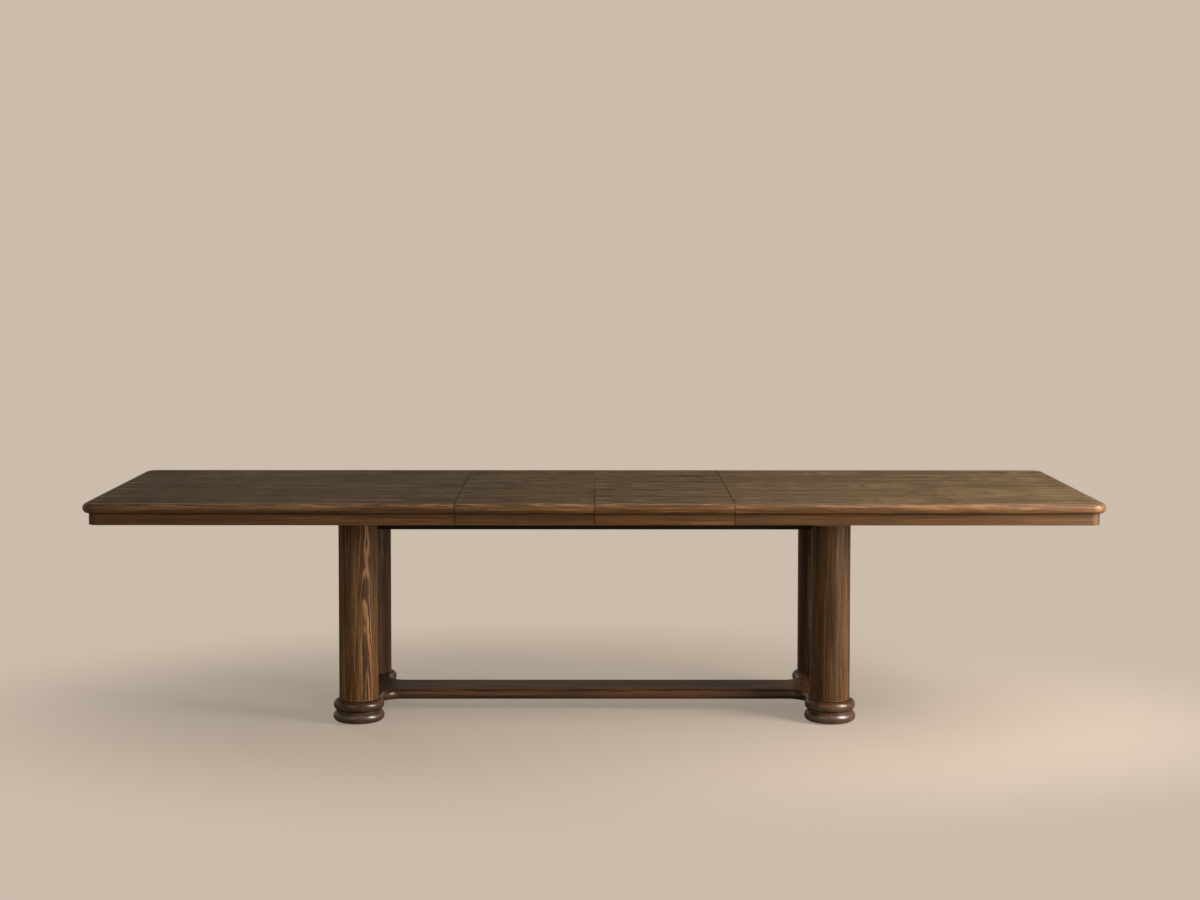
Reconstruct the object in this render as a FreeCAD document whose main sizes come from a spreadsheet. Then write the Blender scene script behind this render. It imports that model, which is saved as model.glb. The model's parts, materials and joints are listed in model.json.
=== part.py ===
import FreeCAD, Part
import math
import os
from types import SimpleNamespace

import Sketcher
from FreeCAD import Placement, Rotation, Vector

# An extending dining table, drawn out with its two leaves in the middle.
# Lengths are millimetres. The origin is on the floor under the middle of the table,
# +X runs along the table, +Z is up, and the front long side faces -Y.

SIZES = {
    # top
    "table_length": 3300,
    "table_width": 1050,
    "table_height": 765,
    "slab_thickness": 34,
    "plan_corner_radius": 50,
    "leaf_length": 450,
    "seam_gap": 0.4,
    "running_gap": 0.3,
    # apron under the slab
    "apron_inset": 20,
    "apron_thickness": 20,
    "apron_height": 37.3,
    "apron_round": 2,
    "block_reach": 70,
    # columns, end plates, stretcher and feet
    "column_spacing": 1580,
    "column_pair_spacing": 460,
    "column_radius": 65.5,
    "column_cove": 5,
    "plate_radius": 84,
    "plate_waist": 76,
    "plate_thickness": 34,
    "plate_top_round": 16,
    "plate_bottom_round": 15,
    "neck_round": 56,
    "stretcher_width": 184.7,
    "dowel_radius": 6,
    "dowel_length": 80,
    "dowel_spacing": 100,
    "foot_radius": 85.5,
    "foot_height": 38.5,
    "foot_bead": 17.5,
    "foot_neck_radius": 74.5,
    "glide_radius": 60,
    "glide_thickness": 2,
    # tie rods through foot, plate, column and bearer
    "rod_radius": 6,
    "rod_clearance": 0.5,
    "nut_radius": 11,
    "nut_height": 8,
    "washer_radius": 13,
    "washer_thickness": 2,
    "nut_recess": 13,
    "thread_clearance": 0.05,
    "seat_clearance": 0.2,
    # fixed frame on the columns
    "bearer_width": 120,
    "bearer_length": 600,
    "bearer_thickness": 28,
    "rail_height": 59,
    "rail_thickness": 24,
    "rail_spacing": 300,
    "rail_overhang": 60,
    "cross_rail_width": 60,
    "cross_rail_height": 34,
    # runners and their guides
    "runner_width": 28,
    "runner_height": 36.7,
    "left_runner_spacing": 200,
    "right_runner_spacing": 300,
    "runner_setback": 150,
    "runner_reach": 110,
    "slide_opening": 60,
    "guide_length": 100,
    "guide_height": 26,
    "tongue_reach": 6,
    "tongue_thickness": 8,
    "tongue_rise": 14,
    # equaliser
    "tooth_module": 3,
    "tooth_play": 0.15,
    "pinion_width": 12,
    "axle_radius": 6,
    "axle_clearance": 0.05,
    "axle_foot": 30,
    "pinion_rise": 9,
    "collar_width": 5,
    "collar_gap": 0.1,
    "clip_thickness": 1.2,
    "clip_groove": 1,
    "rack_back": 17,
    "rack_spare": 30,
    "rack_tail": 260,
    "rack_reach": 90,
    "hanger_length": 220,
    "hanger_inset": 3,
    "keeper_length": 60,
    "keeper_thickness": 12,
    "keeper_height": 20,
    # latches under the seams
    "latch_setback": 42,
    "latch_width": 18,
    "latch_tip_radius": 11,
    "latch_thickness": 4,
    "latch_drop": 4,
    "pin_radius": 3,
    "pin_bury": 15,
    "pin_clearance": 0.05,
    "stud_clearance": 0.4,
    "shoulder_radius": 7,
    "shoulder_gap": 0.1,
    "pin_head": 3,
    "stud_below": 2,
    # cleats under the leaves
    "cleat_width": 30,
    "cleat_height": 22,
    "cleat_inset": 30,
    # wood screws
    "screw_radius": 2.5,
    "screw_head_radius": 4.5,
    "screw_head_height": 4,
    "screw_bury": 18,
    "rail_screw_bury": 20,
    "screw_setback": 90,
    "overrun": 5,
}
TEETH = 18
PRESSURE_ANGLE = math.radians(20)
DEDENDUM_SHARE = 1.25
SLOT_SWEEP = 40
LATCH_SHARE = 0.31
QUARTER = 90
HALF_TURN = 180
FULL_TURN = 360
UP = Vector(0, 0, 1)
ALONG = Vector(1, 0, 0)
BACK = Vector(0, 1, 0)


class Size:
    """A length, with the formula that ties it to the sheet."""

    def __init__(self, value, formula):
        self.value = value
        self.formula = formula

    def __add__(self, other):
        other = as_size(other)
        return Size(self.value + other.value, f"({self.formula} + {other.formula})")

    def __sub__(self, other):
        other = as_size(other)
        return Size(self.value - other.value, f"({self.formula} - {other.formula})")

    def __mul__(self, other):
        other = as_size(other)
        return Size(self.value * other.value, f"({self.formula} * {other.formula})")

    def __truediv__(self, other):
        other = as_size(other)
        return Size(self.value / other.value, f"({self.formula} / {other.formula})")

    def __neg__(self):
        return Size(-self.value, f"(0 - {self.formula})")


def as_size(number):
    if isinstance(number, Size):
        return number
    return Size(number, repr(number))


def square_root(size):
    return Size(math.sqrt(size.value), f"sqrt({size.formula})")


doc = FreeCAD.newDocument("extending_table")
sheet = doc.addObject("Spreadsheet::Sheet", "sizes")
for row, (alias, number) in enumerate(SIZES.items(), start=1):
    sheet.set(f"A{row}", alias)
    sheet.set(f"B{row}", str(number))
    sheet.setAlias(f"B{row}", alias)
doc.recompute()
d = SimpleNamespace(**{name: Size(number, f"sizes.{name}") for name, number in SIZES.items()})

# Levels and lines that several pieces share.
half_length = d.table_length / 2
half_width = d.table_width / 2
edge_radius = d.slab_thickness / 2
slab_under = d.table_height - d.slab_thickness
slab_middle = d.table_height - edge_radius
half_gap = d.seam_gap / 2
half_start = d.leaf_length + half_gap
frame_top = slab_under - d.runner_height - d.running_gap
column_top = frame_top - d.bearer_thickness
foot_under = d.glide_thickness
plate_under = foot_under + d.foot_height
plate_top = plate_under + d.plate_thickness
column_x = d.column_spacing / 2
column_y = d.column_pair_spacing / 2
rail_y = d.rail_spacing / 2
runner_y = (d.left_runner_spacing + d.right_runner_spacing) / 4
rod_hole = d.rod_radius + d.rod_clearance
nut_hole = d.washer_radius + d.rod_clearance
apron_face = half_width - d.apron_inset
apron_back = apron_face - d.apron_thickness
apron_under = slab_under - d.apron_height
pinion_floor = frame_top + d.pinion_rise
pitch_radius = d.tooth_module * TEETH / 2
rack_back_y = pitch_radius + d.rack_back
rack_toothed = d.leaf_length + d.rack_spare
cleat_near = d.right_runner_spacing / 2 + d.runner_width / 2 + d.running_gap
cleat_far = cleat_near + d.cleat_width
latch_length = d.latch_setback * 2
latch_room = cleat_far + latch_length + d.latch_tip_radius
latch_y = latch_room + (apron_back - latch_room) * LATCH_SHARE
latch_top = slab_under - d.latch_drop
inner_x = -half_start
straight_x = -half_length + d.plan_corner_radius
straight_y = half_width - d.plan_corner_radius
panel_x = -half_length + edge_radius
panel_y = half_width - edge_radius
runner_start = -half_length + d.runner_setback
runner_under = frame_top + d.running_gap
runner_screw_head = runner_under + d.screw_head_height
runner_screw_shank = slab_under - runner_screw_head + d.screw_bury

nodes = []


def bind(piece, **sizes):
    """Ties properties of a piece to the sheet."""
    for name, size in sizes.items():
        piece.setExpression(name, as_size(size).formula)
    return piece


def place(piece, x=0, y=0, z=0, turn=0, axis=UP):
    piece.Placement = Placement(Vector(), Rotation(axis, turn))
    for name, size in (("x", x), ("y", y), ("z", z)):
        if isinstance(size, Size):
            piece.setExpression(f"Placement.Base.{name}", as_size(size).formula)
    return piece


def keep(piece):
    """Marks a finished sub-part, which is written out under its label."""
    nodes.append(piece)
    return piece


def add(kind, label):
    piece = doc.addObject(kind, label)
    piece.Label = label
    return piece


def box(label, x, y, z):
    """A box from its two limits along each axis."""
    piece = add("Part::Box", label)
    bind(piece, Length=x[1] - x[0], Width=y[1] - y[0], Height=z[1] - z[0])
    return place(piece, x[0], y[0], z[0])


def cylinder(label, radius, height, x=0, y=0, z=0, axis=UP, turn=0):
    piece = add("Part::Cylinder", label)
    bind(piece, Radius=radius, Height=height)
    return place(piece, x, y, z, turn, axis)


def joined(label, pieces):
    piece = add("Part::MultiFuse", label)
    piece.Shapes = pieces
    return piece


def group(label, pieces):
    """Separate solids kept under one name."""
    piece = add("Part::Compound", label)
    piece.Links = pieces
    return piece


def cut(label, body, tools):
    piece = add("Part::Cut", label)
    piece.Base = body
    piece.Tool = tools[0] if len(tools) == 1 else group(label + "_cutters", tools)
    return piece


def origin_plane(body, role):
    return next(plane for plane in body.Origin.OriginFeatures if plane.Role == role)


def arc(x, y, radius, centre_x, centre_y, turn):
    """A corner whose side to the next one is an arc, turning left or right."""
    return (x, y, radius, centre_x, centre_y, turn)


def sketch(body, name, role, corners):
    """A closed outline with every corner and radius tied to the sheet."""
    outline = body.newObject("Sketcher::SketchObject", name)
    outline.AttachmentSupport = [(origin_plane(body, role), "")]
    outline.MapMode = "FlatFace"
    points = [Vector(as_size(c[0]).value, as_size(c[1]).value, 0) for c in corners]
    ends = []
    for index, corner in enumerate(corners):
        here = points[index]
        there = points[(index + 1) % len(points)]
        if len(corner) == 2:
            outline.addGeometry(Part.LineSegment(here, there), False)
            ends.append((1, 2))
            continue
        middle = Vector(as_size(corner[3]).value, as_size(corner[4]).value, 0)
        first, last = (here, there) if corner[5] == "left" else (there, here)
        start = math.atan2(first.y - middle.y, first.x - middle.x)
        sweep = (math.atan2(last.y - middle.y, last.x - middle.x) - start) % math.tau
        circle = Part.Circle(middle, UP, corner[2].value)
        outline.addGeometry(Part.ArcOfCircle(circle, start, start + sweep), False)
        ends.append((1, 2) if corner[5] == "left" else (2, 1))
    for index, corner in enumerate(corners):
        following = (index + 1) % len(corners)
        outline.addConstraint(
            Sketcher.Constraint("Coincident", index, ends[index][1], following, ends[following][0])
        )
        for kind, axis, size in (("DistanceX", -2, corner[0]), ("DistanceY", -1, corner[1])):
            if not isinstance(size, Size):
                rule = Sketcher.Constraint("PointOnObject", index, ends[index][0], axis)
                outline.addConstraint(rule)
                continue
            rule = Sketcher.Constraint(kind, -1, 1, index, ends[index][0], size.value)
            outline.setExpression(f"Constraints[{outline.addConstraint(rule)}]", size.formula)
        if len(corner) > 2:
            rule = Sketcher.Constraint("Radius", index, corner[2].value)
            outline.setExpression(f"Constraints[{outline.addConstraint(rule)}]", corner[2].formula)
    return outline


def padded(label, role, corners, length):
    """A body with one outline pushed out along the plane's normal."""
    body = add("PartDesign::Body", label)
    pad = body.newObject("PartDesign::Pad", label + "_pad")
    pad.Profile = sketch(body, label + "_outline", role, corners)
    bind(pad, Length=length)
    body.Tip = pad
    return body


def turned(label, corners, angle=FULL_TURN):
    """A body turned about the upright axis, its outline in radius and height."""
    body = add("PartDesign::Body", label)
    outline = sketch(body, label + "_outline", "XZ_Plane", corners)
    revolution = body.newObject("PartDesign::Revolution", label + "_turning")
    revolution.Profile = outline
    revolution.ReferenceAxis = (outline, ["V_Axis"])
    revolution.Angle = angle
    body.Tip = revolution
    return body


def rounded(body, label, radius, test):
    """Rounds the edges of a body that pass a test on their middle point and their ends."""
    doc.recompute()
    base = body.Tip
    edges = [
        f"Edge{index}"
        for index, edge in enumerate(base.Shape.Edges, start=1)
        if test(edge.valueAt((edge.FirstParameter + edge.LastParameter) / 2), edge)
    ]
    fillet = body.newObject("PartDesign::Fillet", label)
    fillet.Base = (base, edges)
    bind(fillet, Radius=radius)
    body.Tip = fillet
    return body


def rectangle(x, y):
    return [(x[0], y[0]), (x[1], y[0]), (x[1], y[1]), (x[0], y[1])]


def near(first, second):
    return abs(first - second) < d.running_gap.value / 4


def screws(label, places, head_under, shank_length, clearance=0):
    """Wood screws driven upwards, or with a clearance the holes for them."""
    pieces = []
    for index, (x, y) in enumerate(places):
        name = f"{label}_{index}"
        gap = as_size(clearance)
        head = cylinder(
            name + "_head", d.screw_head_radius + gap, d.screw_head_height, x, y, head_under
        )
        shank = cylinder(
            name + "_shank", d.screw_radius + gap, shank_length + gap, x, y, head_under
        )
        pieces.append(joined(name, [head, shank]))
    return pieces


def counterbores(label, places, mouth, floor):
    """Recesses that sink screw heads into the under side of a piece."""
    radius = d.screw_head_radius + d.thread_clearance
    depth = floor - mouth + d.overrun
    return [
        cylinder(f"{label}_counterbore_{index}", radius, depth, x, y, mouth - d.overrun)
        for index, (x, y) in enumerate(places)
    ]


# Base: feet, end plates, stretcher and columns.

CORNERS = {
    "front_left": (-1, -1),
    "front_right": (1, -1),
    "rear_left": (-1, 1),
    "rear_right": (1, 1),
}


def make_feet():
    core = d.foot_radius - d.foot_bead
    neck_rise = square_root(
        d.foot_bead * d.foot_bead - (d.foot_neck_radius - core) * (d.foot_neck_radius - core)
    )
    for name, (x, y) in CORNERS.items():
        foot = turned(
            "foot_" + name,
            [
                (nut_hole, 0),
                arc(core, 0, d.foot_bead, core, d.foot_bead, "left"),
                arc(d.foot_radius, d.foot_bead, d.foot_bead, core, d.foot_bead, "left"),
                (d.foot_neck_radius, d.foot_bead + neck_rise),
                (d.foot_neck_radius, d.foot_height),
                (rod_hole, d.foot_height),
                (rod_hole, d.nut_recess),
                (nut_hole, d.nut_recess),
            ],
        )
        keep(place(foot, column_x * x, column_y * y, foot_under))
    glides = [
        cylinder("glide_" + name, d.glide_radius, d.glide_thickness, column_x * x, column_y * y)
        for name, (x, y) in CORNERS.items()
    ]
    keep(group("floor_glides", glides))


def make_plates():
    """End plates: round at both ends, waisted, with a neck that runs into the stretcher."""
    radius = d.plate_radius
    waist = d.plate_waist
    half_neck = d.stretcher_width / 2
    shoulder = half_neck + d.neck_round
    face = waist + d.neck_round
    spread = radius + d.neck_round
    drop = square_root(spread * spread - face * face)
    share = radius / spread
    touch_x = face * share
    touch_y = column_y - drop * share
    hip = column_y - drop
    outline = [
        (-waist, hip),
        arc(-waist, -hip, d.neck_round, -face, -hip, "right"),
        arc(-touch_x, -touch_y, radius, 0, -column_y, "left"),
        arc(0, -column_y - radius, radius, 0, -column_y, "left"),
        arc(touch_x, -touch_y, d.neck_round, face, -hip, "right"),
        (waist, -hip),
        arc(waist, -shoulder, d.neck_round, face, -shoulder, "right"),
        (face, -half_neck),
        arc(face, half_neck, d.neck_round, face, shoulder, "right"),
        (waist, shoulder),
        arc(waist, hip, d.neck_round, face, hip, "right"),
        arc(touch_x, touch_y, radius, 0, column_y, "left"),
        arc(0, column_y + radius, radius, 0, column_y, "left"),
        arc(-touch_x, touch_y, d.neck_round, -face, hip, "right"),
    ]
    for side, turn in (("left", 0), ("right", HALF_TURN)):
        name = "end_plate_" + side
        plate = padded(name + "_blank", "XY_Plane", outline, d.plate_thickness)
        thickness = d.plate_thickness.value
        rounded(
            plate,
            name + "_top_round",
            d.plate_top_round,
            lambda middle, edge: near(middle.z, thickness) and not near(middle.x, face.value),
        )
        rounded(
            plate,
            name + "_bottom_round",
            d.plate_bottom_round,
            lambda middle, edge: near(middle.z, 0) and not near(middle.x, face.value),
        )
        cutters = [
            cylinder(
                f"{name}_rod_hole_{index}",
                rod_hole,
                d.plate_thickness + d.overrun * 2,
                y=column_y * sign,
                z=-d.overrun,
            )
            for index, sign in enumerate((-1, 1))
        ]
        cutters += dowels(name + "_dowel_hole", face, d.plate_thickness / 2)
        whole = cut(name, plate, cutters)
        keep(place(whole, column_x * (1 if turn else -1), 0, plate_under, turn))


def dowels(label, face, z):
    """Dowels along X, half on each side of a joint's face."""
    return [
        cylinder(
            f"{label}_{index}",
            d.dowel_radius,
            d.dowel_length,
            face - d.dowel_length / 2,
            d.dowel_spacing / 2 * sign,
            z,
            BACK,
            QUARTER,
        )
        for index, sign in enumerate((-1, 1))
    ]


def make_stretcher():
    half = d.stretcher_width / 2
    top = d.plate_top_round
    low = d.plate_bottom_round
    height = d.plate_thickness
    reach = column_x - d.plate_waist - d.neck_round
    section = [
        (-half + low, 0),
        arc(half - low, 0, low, half - low, low, "left"),
        (half, low),
        arc(half, height - top, top, half - top, height - top, "left"),
        (half - top, height),
        arc(-half + top, height, top, -half + top, height - top, "left"),
        (-half, height - top),
        arc(-half, low, low, -half + low, low, "left"),
    ]
    blank = padded("stretcher_blank", "YZ_Plane", section, reach * 2)
    place(blank, -reach, 0, plate_under)
    middle = plate_under + height / 2
    holes = dowels("stretcher_left_hole", -reach, middle)
    holes += dowels("stretcher_right_hole", reach, middle)
    keep(cut("stretcher", blank, holes))
    pins = dowels("dowel_left", -reach, middle) + dowels("dowel_right", reach, middle)
    keep(group("stretcher_dowels", pins))


def make_columns():
    height = column_top - plate_top
    cove = d.column_cove
    wide = d.column_radius + cove
    for name, (x, y) in CORNERS.items():
        column = turned(
            "column_" + name,
            [
                (rod_hole, 0),
                arc(wide, 0, cove, wide, cove, "right"),
                (d.column_radius, cove),
                (d.column_radius, height),
                (rod_hole, height),
            ],
        )
        keep(place(column, column_x * x, column_y * y, plate_top))


def make_tie_rods():
    """A rod through each column, with a nut and washer in the foot and in the bearer."""
    low_seat = foot_under + d.nut_recess
    high_seat = frame_top - d.nut_recess
    low_end = low_seat - d.washer_thickness - d.nut_height - d.seat_clearance
    high_end = high_seat + d.washer_thickness + d.nut_height + d.seat_clearance
    rods = []
    fixings = []
    for name, (x, y) in CORNERS.items():
        at = (column_x * x, column_y * y)
        rods.append(cylinder("tie_rod_" + name, d.rod_radius, high_end - low_end, *at, low_end))
        hole = d.rod_radius + d.thread_clearance
        for level, washer_z, nut_z in (
            ("low", low_seat - d.washer_thickness, low_seat - d.washer_thickness - d.nut_height),
            ("high", high_seat, high_seat + d.washer_thickness),
        ):
            tag = f"{name}_{level}"
            disc = cylinder("washer_disc_" + tag, d.washer_radius, d.washer_thickness, *at, washer_z)
            prism = add("Part::Prism", "nut_prism_" + tag)
            prism.Polygon = 6
            bind(prism, Circumradius=d.nut_radius, Height=d.nut_height)
            place(prism, *at, nut_z)
            for kind, blank, z, height in (
                ("washer_", disc, washer_z, d.washer_thickness),
                ("nut_", prism, nut_z, d.nut_height),
            ):
                bore = cylinder(f"{kind}bore_{tag}", hole, height, *at, z)
                fixings.append(cut(kind + tag, blank, [bore]))
    keep(group("tie_rods", rods))
    keep(group("tie_rod_fixings", fixings))


# Fixed frame: bearers over the column pairs, long rails, centre cross rail and guides.


rail_screw_places = [(column_x * x, rail_y * y) for x, y in CORNERS.values()]


def make_frame():
    head_under = frame_top - d.rail_height + d.screw_head_height * 2
    shank = column_top - head_under + d.rail_screw_bury
    for side, sign in (("left", -1), ("right", 1)):
        name = "bearer_" + side
        x = column_x * sign
        half = d.bearer_width / 2
        reach = d.bearer_length / 2
        blank = box(name + "_blank", (x - half, x + half), (-reach, reach), (column_top, frame_top))
        tools = []
        for index, y in enumerate((-column_y, column_y)):
            tools.append(
                joined(
                    f"{name}_hole_{index}",
                    [
                        cylinder(
                            f"{name}_bore_{index}",
                            rod_hole,
                            d.bearer_thickness + d.overrun * 2,
                            x,
                            y,
                            column_top - d.overrun,
                        ),
                        cylinder(
                            f"{name}_recess_{index}",
                            nut_hole,
                            d.nut_recess + d.overrun,
                            x,
                            y,
                            frame_top - d.nut_recess,
                        ),
                    ],
                )
            )
        spots = [spot for spot in rail_screw_places if (spot[0].value > 0) == (sign > 0)]
        tools += screws(name + "_screw_hole", spots, head_under, shank, d.thread_clearance)
        keep(cut(name, blank, tools))

    reach = column_x + d.rail_overhang
    lap = column_x - d.bearer_width / 2
    low = d.rail_height - d.bearer_thickness
    side_view = [
        (-reach, 0),
        (reach, 0),
        (reach, low),
        (lap, low),
        (lap, d.rail_height),
        (-lap, d.rail_height),
        (-lap, low),
        (-reach, low),
    ]
    for side, sign in (("front", -1), ("rear", 1)):
        name = "long_rail_" + side
        blank = padded(name + "_blank", "XZ_Plane", side_view, d.rail_thickness)
        y = rail_y * sign
        place(blank, 0, y + d.rail_thickness / 2, frame_top - d.rail_height)
        spots = [spot for spot in rail_screw_places if (spot[1].value > 0) == (sign > 0)]
        tools = screws(name + "_screw_hole", spots, head_under, shank, d.thread_clearance)
        tools += counterbores(name, spots, frame_top - d.rail_height, head_under)
        keep(cut(name, blank, tools))
    keep(group("frame_screws", screws("frame_screw", rail_screw_places, head_under, shank)))

    half = d.cross_rail_width / 2
    inner = rail_y - d.rail_thickness / 2
    blank = box(
        "cross_rail_blank", (-half, half), (-inner, inner), (frame_top - d.cross_rail_height, frame_top)
    )
    socket = cylinder(
        "axle_socket", d.axle_radius, d.axle_foot + d.overrun, z=frame_top - d.axle_foot
    )
    keep(cut("cross_rail", blank, [socket]))


def make_guides():
    """Blocks between the runners, each with a tongue into the groove on both sides."""
    half_stem = (d.right_runner_spacing - d.left_runner_spacing) / 4 - d.runner_width / 2 - d.running_gap
    half_tongue = half_stem + d.tongue_reach
    rise = d.tongue_rise
    crown = rise + d.tongue_thickness
    section = [
        (-half_stem, 0),
        (half_stem, 0),
        (half_stem, rise),
        (half_tongue, rise),
        (half_tongue, crown),
        (half_stem, crown),
        (half_stem, d.guide_height),
        (-half_stem, d.guide_height),
        (-half_stem, crown),
        (-half_tongue, crown),
        (-half_tongue, rise),
        (-half_stem, rise),
    ]
    guides = []
    for name, x, length in (
        ("left", -column_x, d.guide_length),
        ("centre", as_size(0), d.cross_rail_width),
        ("right", column_x, d.guide_length),
    ):
        for side, sign in (("front", -1), ("rear", 1)):
            guide = padded(f"guide_{name}_{side}", "YZ_Plane", section, length)
            guides.append(place(guide, x - length / 2, runner_y * sign, frame_top))
    keep(group("runner_guides", guides))


# Top: two end halves and two leaves.


def half_round(label, facing, along, length, x, y):
    """A half-round strip of edging, its flat side against a panel."""
    strip = add("Part::Cylinder", label)
    bind(strip, Radius=edge_radius, Height=length)
    strip.Angle = HALF_TURN
    place(strip, x, y, slab_middle)
    strip.Placement = Placement(
        strip.Placement.Base, Rotation(facing.cross(along), facing, along, "XYZ")
    )
    return strip


def round_corner(label, x, y, turn):
    """The edging's quarter turn round a corner of the table."""
    inner = d.plan_corner_radius - edge_radius
    section = [
        arc(inner, -edge_radius, edge_radius, inner, 0, "left"),
        arc(inner + edge_radius, 0, edge_radius, inner, 0, "left"),
        (inner, edge_radius),
    ]
    return place(turned(label, section, QUARTER), x, y, slab_middle, turn)


def apron_side(label, start, length, sign):
    """A straight apron rail with its lower outer edge rounded over."""
    soft = d.apron_round
    thick = d.apron_thickness
    section = [
        (0, 0),
        arc(thick - soft, 0, soft, thick - soft, soft, "left"),
        (thick, soft),
        (thick, d.apron_height),
        (0, d.apron_height),
    ]
    rail = padded(label, "YZ_Plane", section, length)
    if sign > 0:
        return place(rail, start, apron_back, apron_under)
    return place(rail, start + length, -apron_back, apron_under, HALF_TURN)


def latch_pin(label, x, y):
    """A shoulder screw that a latch swings on, hanging from the slab."""
    under = latch_top - d.latch_thickness - d.shoulder_gap
    parts = [
        cylinder(label + "_shank", d.pin_radius, slab_under - under + d.pin_bury, x, y, under),
        cylinder(
            label + "_shoulder",
            d.shoulder_radius,
            slab_under - latch_top - d.shoulder_gap,
            x,
            y,
            latch_top + d.shoulder_gap,
        ),
        cylinder(label + "_head", d.shoulder_radius, d.pin_head, x, y, under - d.pin_head),
    ]
    return joined(label, parts)


def stud(label, x, y):
    """A headless stud that a latch hooks round."""
    low = latch_top - d.latch_thickness - d.stud_below
    return cylinder(label, d.pin_radius, slab_under - low + d.pin_bury, x, y, low)


def pin_holes(label, places):
    return [
        cylinder(f"{label}_{index}", d.pin_radius, d.pin_bury + d.overrun, x, y, slab_under - d.overrun)
        for index, (x, y) in enumerate(places)
    ]


def half_panel(side, screw_places, pivots):
    name = side + "_top_panel"
    outline = rectangle((panel_x, inner_x), (-panel_y, panel_y))
    panel = padded(name + "_blank", "XY_Plane", outline, d.slab_thickness)
    rounded(
        panel,
        name + "_corners",
        d.plan_corner_radius - edge_radius,
        lambda middle, edge: near(middle.x, panel_x.value) and near(abs(middle.y), panel_y.value),
    )
    place(panel, z=slab_under)
    holes = screws(
        name + "_screw_hole", screw_places, runner_screw_head, runner_screw_shank, d.thread_clearance
    )
    holes += pin_holes(name + "_pivot_hole", pivots)
    return cut(name, panel, holes)


def half_edging(side):
    name = side + "_top_edging"
    length = inner_x - straight_x
    strips = [
        half_round(name + "_front", -BACK, ALONG, length, straight_x, -panel_y),
        round_corner(name + "_corner_front", straight_x, -straight_y, HALF_TURN),
        half_round(name + "_end", -ALONG, BACK, straight_y * 2, panel_x, -straight_y),
        round_corner(name + "_corner_rear", straight_x, straight_y, QUARTER),
        half_round(name + "_rear", BACK, ALONG, length, straight_x, panel_y),
    ]
    return group(name, strips)


def half_apron(side):
    """The apron of an end half: two straight rails and an end with round corners."""
    name = side + "_top_apron"
    outer = d.plan_corner_radius - d.apron_inset
    inner = outer - d.apron_thickness
    face_x = -half_length + d.apron_inset
    back_x = face_x + d.apron_thickness
    turn_x = face_x + outer
    turn_y = apron_face - outer
    bend = [
        (face_x, turn_y),
        arc(face_x, -turn_y, outer, turn_x, -turn_y, "left"),
        (turn_x, -apron_face),
        arc(turn_x, -apron_back, inner, turn_x, -turn_y, "right"),
        (back_x, -turn_y),
        arc(back_x, turn_y, inner, turn_x, turn_y, "right"),
        (turn_x, apron_back),
        arc(turn_x, apron_face, outer, turn_x, turn_y, "left"),
    ]
    end = padded(name + "_end", "XY_Plane", bend, d.apron_height)

    def on_outer_face(middle):
        from_turn = math.hypot(middle.x - turn_x.value, abs(middle.y) - turn_y.value)
        return near(middle.x, face_x.value) or near(from_turn, outer.value)

    rounded(
        end,
        name + "_end_round",
        d.apron_round,
        lambda middle, edge: near(middle.z, 0)
        and on_outer_face(middle)
        and not near(middle.x, turn_x.value),
    )
    place(end, z=apron_under)
    length = inner_x - turn_x
    front = apron_side(name + "_front", turn_x, length, -1)
    rear = apron_side(name + "_rear", turn_x, length, 1)
    return group(name, [front, end, rear])


def half_blocks(side):
    """Blocks glued behind the round corners of the apron."""
    name = side + "_top_corner_blocks"
    inner = d.plan_corner_radius - d.apron_inset - d.apron_thickness
    reach = inner + d.block_reach
    back_x = -half_length + d.apron_inset + d.apron_thickness
    shape = [(inner, 0), (reach, 0), (0, reach), (0, inner)]
    front = padded(name + "_front", "XY_Plane", shape, d.apron_height)
    place(front, back_x, -apron_back, apron_under)
    rear = padded(name + "_rear", "XY_Plane", shape, d.apron_height)
    place(rear, back_x, apron_back, apron_under, -QUARTER)
    return group(name, [front, rear])


def half_runners(side, line, screw_places):
    """Two runners, each with a groove that stops short of the inner end."""
    name = side + "_runners"
    groove_end = d.cross_rail_width / 2 + d.slide_opening + d.running_gap
    groove_floor = frame_top + d.tongue_rise - d.running_gap
    groove_height = d.tongue_thickness + d.running_gap * 2
    faces_outwards = line.value < runner_y.value
    runners = []
    for end, sign in (("front", -1), ("rear", 1)):
        y = line * sign
        blank = box(
            f"{name}_{end}_blank",
            (runner_start, d.runner_reach),
            (y - d.runner_width / 2, y + d.runner_width / 2),
            (runner_under, slab_under),
        )
        way = sign if faces_outwards else -sign
        bottom = y + (d.runner_width / 2 - d.tongue_reach - d.running_gap) * way
        mouth = y + (d.runner_width / 2 + d.overrun) * way
        groove = box(
            f"{name}_{end}_groove",
            (runner_start - d.overrun, groove_end),
            (bottom, mouth) if way > 0 else (mouth, bottom),
            (groove_floor, groove_floor + groove_height),
        )
        spots = [spot for spot in screw_places if (spot[1].value > 0) == (sign > 0)]
        tag = f"{name}_{end}_screw_hole"
        tools = [groove]
        tools += screws(tag, spots, runner_screw_head, runner_screw_shank, d.thread_clearance)
        tools += counterbores(tag, spots, runner_under, runner_screw_head)
        runners.append(cut(f"{name}_{end}", blank, tools))
    return group(name, runners)


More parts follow.
